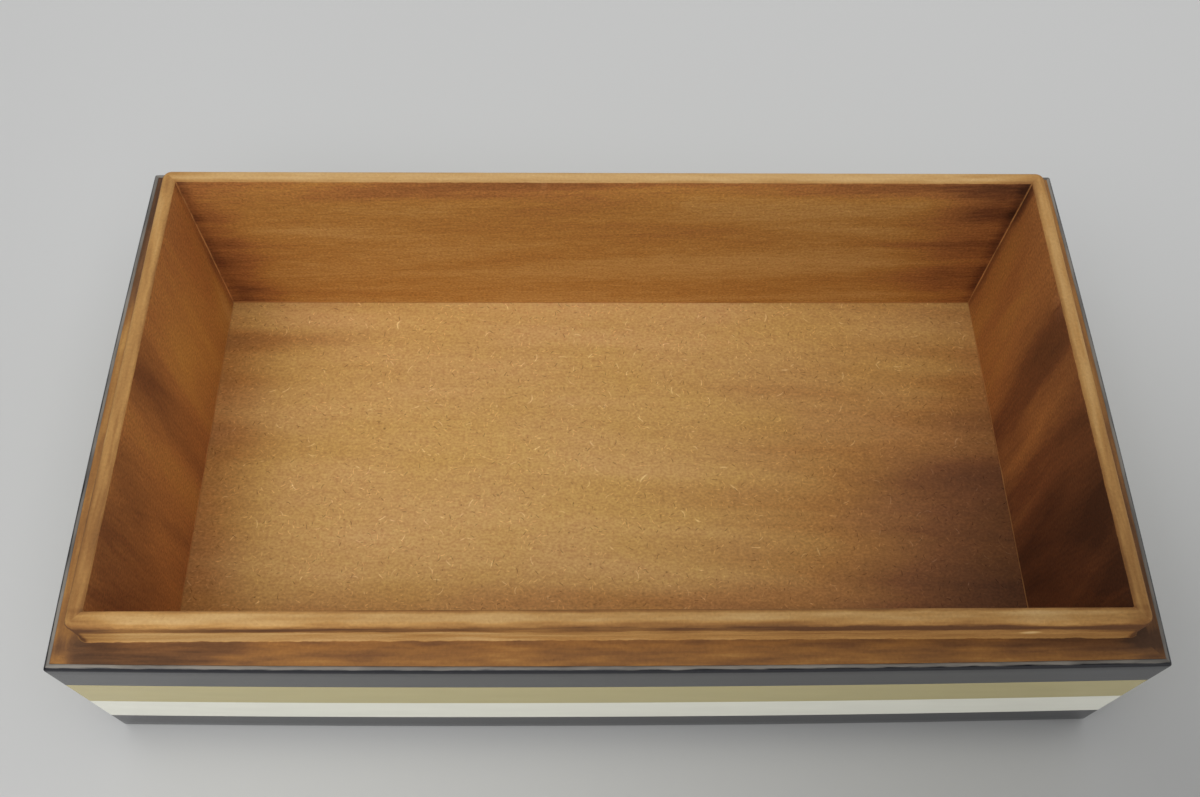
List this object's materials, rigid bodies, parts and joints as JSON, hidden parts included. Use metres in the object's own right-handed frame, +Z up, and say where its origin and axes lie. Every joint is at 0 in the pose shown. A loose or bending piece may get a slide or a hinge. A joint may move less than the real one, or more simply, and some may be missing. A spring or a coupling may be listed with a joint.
{
  "type": "inlaid box",
  "caption": "Open rectangular fibreboard box with a raised lip for a lift-off lid, clad outside in glossy black, gold and ivory bands.",
  "frame": {"origin": "middle of the underside, on the surface that the box stands on", "axes": "+X along the length, +Y from the front long side to the back one, +Z up"},
  "size_m": [0.2552, 0.1432, 0.0625],
  "materials": {
    "wall_board": "medium density fibreboard, wiped with brown stain inside and on the shoulder, left raw on the lip",
    "floor_board": "thin fibreboard, lightly stained",
    "black_resin": "cast resin strip, polished, sanded dull along its inner top edge",
    "gold_resin": "cast resin strip with gold pigment, polished",
    "ivory_resin": "cast resin strip, ivory, polished"
  },
  "bodies": {
    "root": {"floor_panel": "floor_board", "wall_front": "wall_board", "wall_right": "wall_board", "wall_back": "wall_board", "wall_left": "wall_board", "top_strip_front": "black_resin", "top_strip_right": "black_resin", "top_strip_back": "black_resin", "top_strip_left": "black_resin", "gold_strip_front": "gold_resin", "gold_strip_right": "gold_resin", "gold_strip_back": "gold_resin", "gold_strip_left": "gold_resin", "ivory_strip_front": "ivory_resin", "ivory_strip_right": "ivory_resin", "ivory_strip_back": "ivory_resin", "ivory_strip_left": "ivory_resin", "base_strip_front": "black_resin", "base_strip_right": "black_resin", "base_strip_back": "black_resin", "base_strip_left": "black_resin"}
  },
  "joints": []
}
